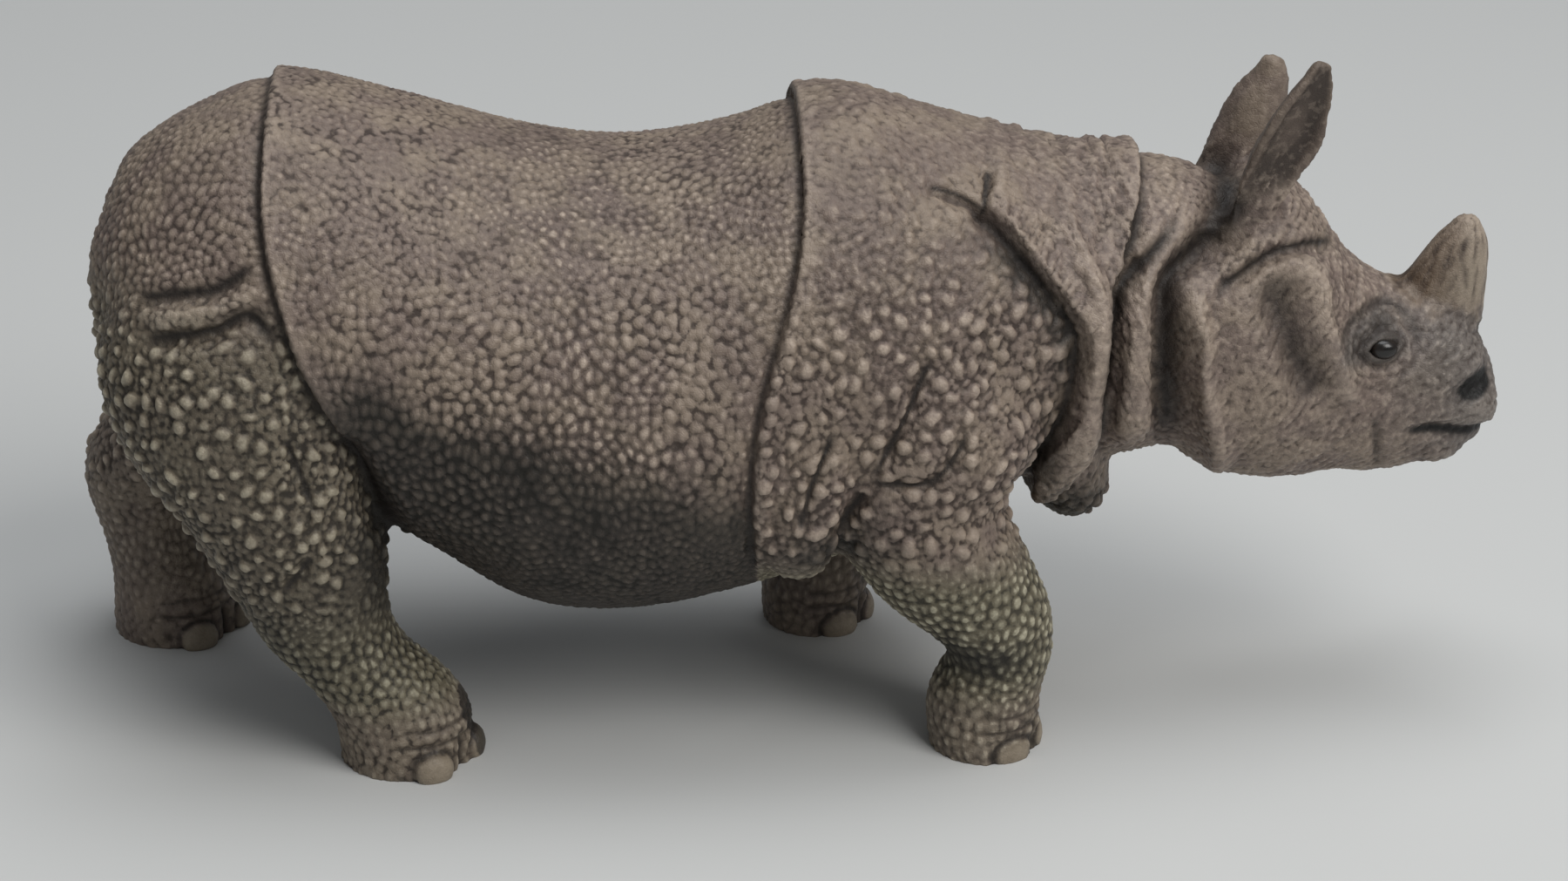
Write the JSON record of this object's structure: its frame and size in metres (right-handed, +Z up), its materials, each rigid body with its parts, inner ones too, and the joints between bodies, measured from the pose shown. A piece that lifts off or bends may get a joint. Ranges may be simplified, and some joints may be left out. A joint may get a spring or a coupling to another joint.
{
  "type": "rhinoceros figurine",
  "caption": "Moulded plastic figurine of a walking Indian rhinoceros with armour-like skin folds, upright ears and a short nose horn, standing on its soles.",
  "frame": {"origin": "on the ground, under the middle of the figure's box", "axes": "+X the way the head points, +Y the animal's left side, +Z up"},
  "size_m": [0.152, 0.0518, 0.0726],
  "materials": {
    "hide": "hand-painted satin: taupe pebbled hide with a darker wash in the creases"
  },
  "bodies": {
    "root": {"rhinoceros": "hide"}
  },
  "joints": []
}
